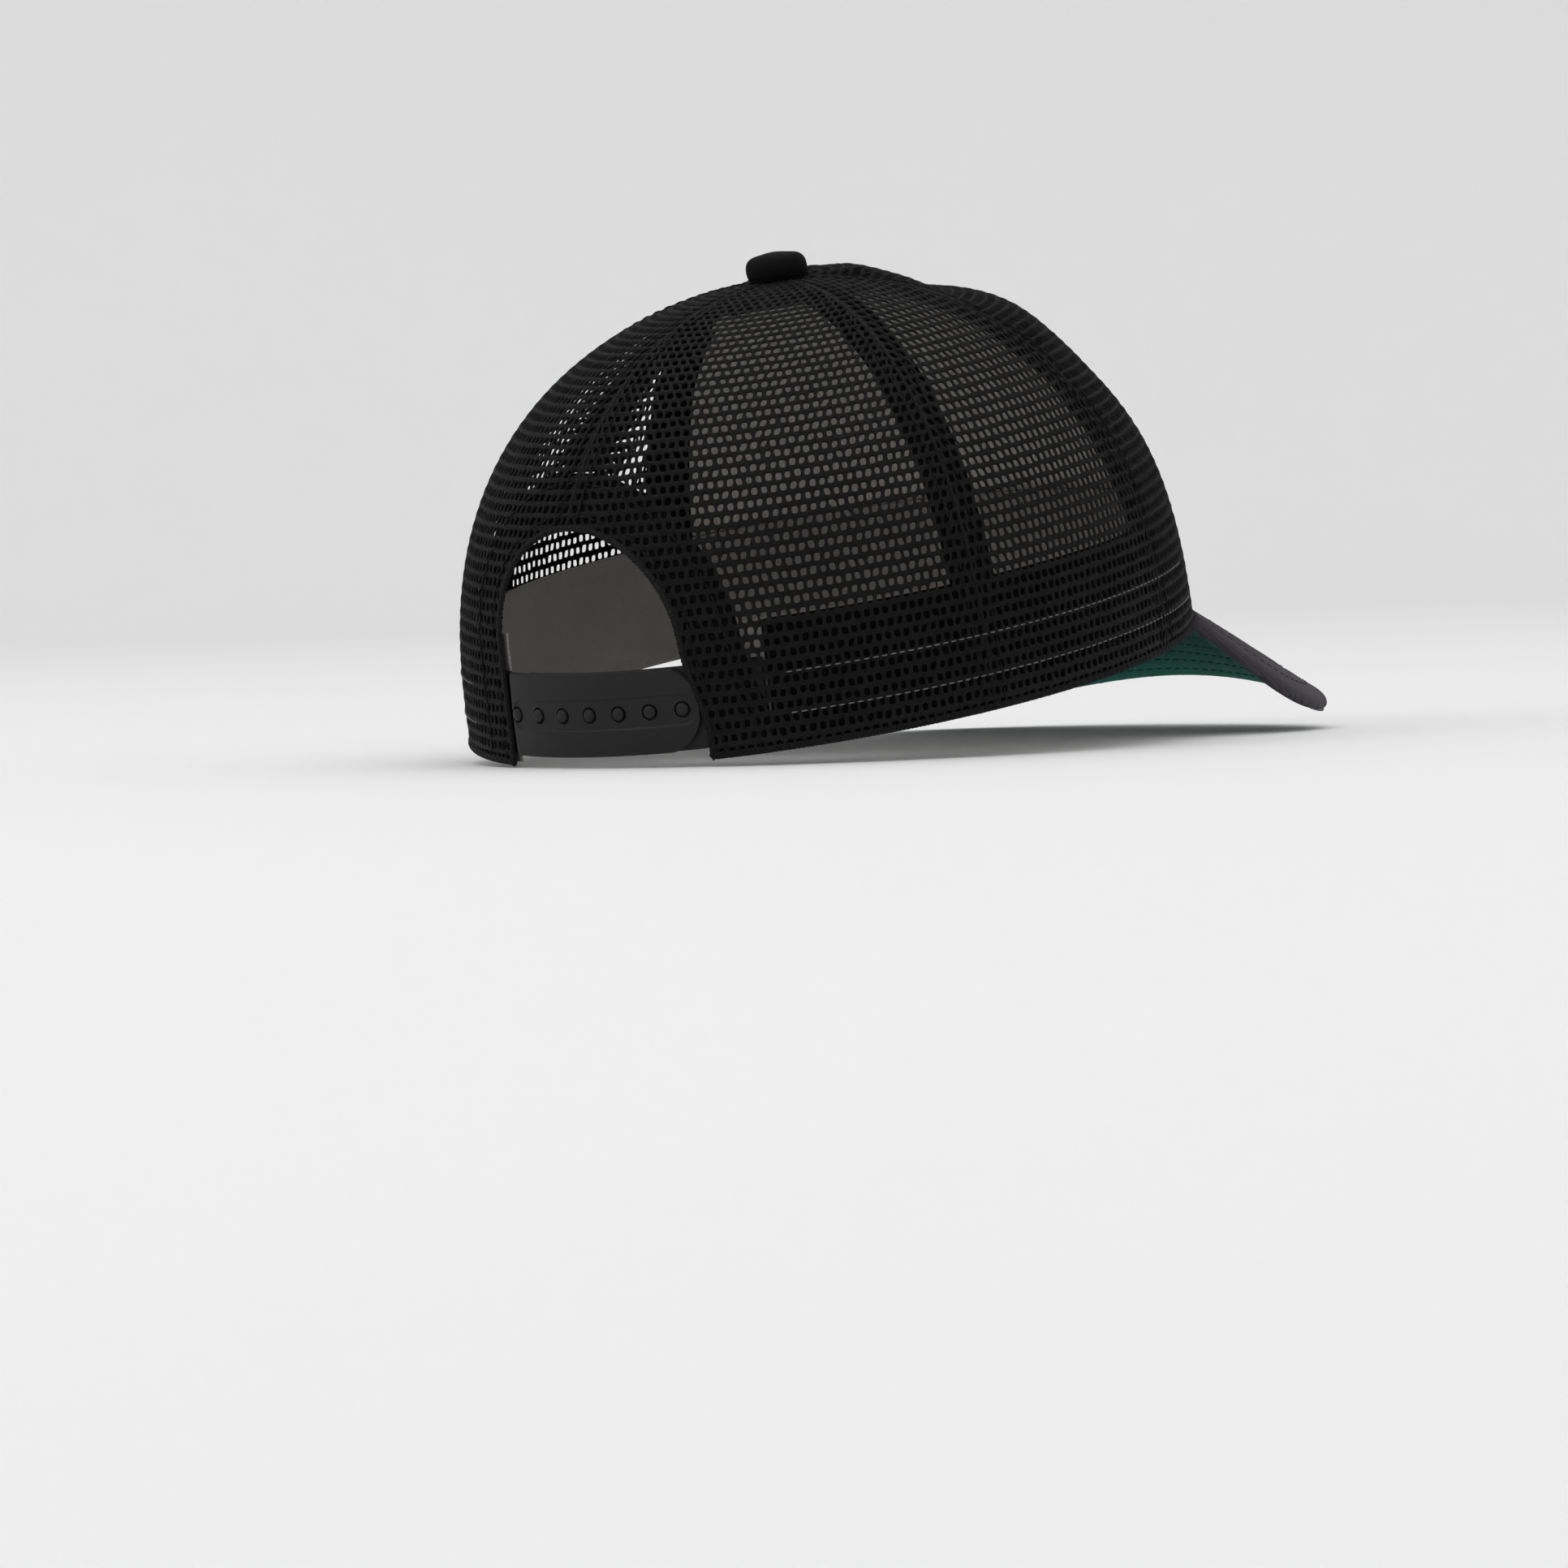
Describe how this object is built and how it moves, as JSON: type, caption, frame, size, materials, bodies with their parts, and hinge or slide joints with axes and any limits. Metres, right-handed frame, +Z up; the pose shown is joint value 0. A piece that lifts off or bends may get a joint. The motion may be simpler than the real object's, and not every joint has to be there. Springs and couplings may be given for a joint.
{
  "type": "trucker mesh cap",
  "caption": "Trucker cap with a mesh crown, curved visor, covered button and an adjustable plastic snap strap across an open rear arch.",
  "frame": {"origin": "centre of the cap's bounding box in plan, at the level of the surface the cap rests on", "axes": "+Z up; the visor points to -Y and the strap is at +Y; the wearer's right is -X; the cap lies as it rests on a table, on its two rear rim corners and its visor corners"},
  "size_m": [0.176, 0.2586, 0.1283],
  "materials": {
    "mesh_fabric": "open knit polyester mesh with staggered hexagonal holes",
    "front_fabric": "the same open knit mesh over a plain black lining",
    "backing": "stiff woven off-white buckram",
    "seam_tape": "folded woven cotton tape",
    "padding": "thin black foam",
    "sweatband": "light grey cotton twill with two rows of stitching",
    "button_fabric": "fabric pulled over a metal dome",
    "button_metal": "plain stamped",
    "visor_board": "moulded polyethylene sheet",
    "visor_fabric": "brushed cotton twill, puckered along its edge seam",
    "visor_underside": "green cotton twill with rows of stitching",
    "strap_plastic": "soft moulded plastic, fine matte texture"
  },
  "bodies": {
    "crown": {"front_panel": "front_fabric", "front_panel_backing": "backing", "right_side_panel": "mesh_fabric", "left_side_panel": "mesh_fabric", "right_rear_panel": "mesh_fabric", "left_rear_panel": "mesh_fabric", "right_side_seam_tape": "seam_tape", "left_side_seam_tape": "seam_tape", "right_front_seam_tape": "seam_tape", "left_front_seam_tape": "seam_tape", "rear_centre_tape": "seam_tape", "arch_binding": "seam_tape", "sweatband_padding": "padding", "sweatband_cover": "sweatband", "button_cover": "button_fabric", "button_shell": "button_metal", "button_stud": "button_metal", "button_back_plate": "button_metal", "visor_board": "visor_board", "visor_top_cover": "visor_fabric", "visor_under_cover": "visor_underside", "hole_strap_tab": "strap_plastic", "peg_strap_tab": "strap_plastic"},
    "hole_strap": {"hole_strap": "strap_plastic"},
    "peg_strap": {"peg_strap": "strap_plastic"}
  },
  "joints": [
    {"name": "hole_strap_bend", "type": "hinge", "parent": "crown", "child": "hole_strap", "pos_m": [0.02096, 0.12457, 0.01355], "axis": [0, -0.1719, -0.9851], "range_deg": [0, 100], "stiffness_Nm_per_rad": 0.015},
    {"name": "peg_strap_bend", "type": "hinge", "parent": "crown", "child": "peg_strap", "pos_m": [-0.03472, 0.1174, 0.01473], "axis": [0, -0.1719, -0.9851], "range_deg": [0, 30], "stiffness_Nm_per_rad": 0.015}
  ]
}
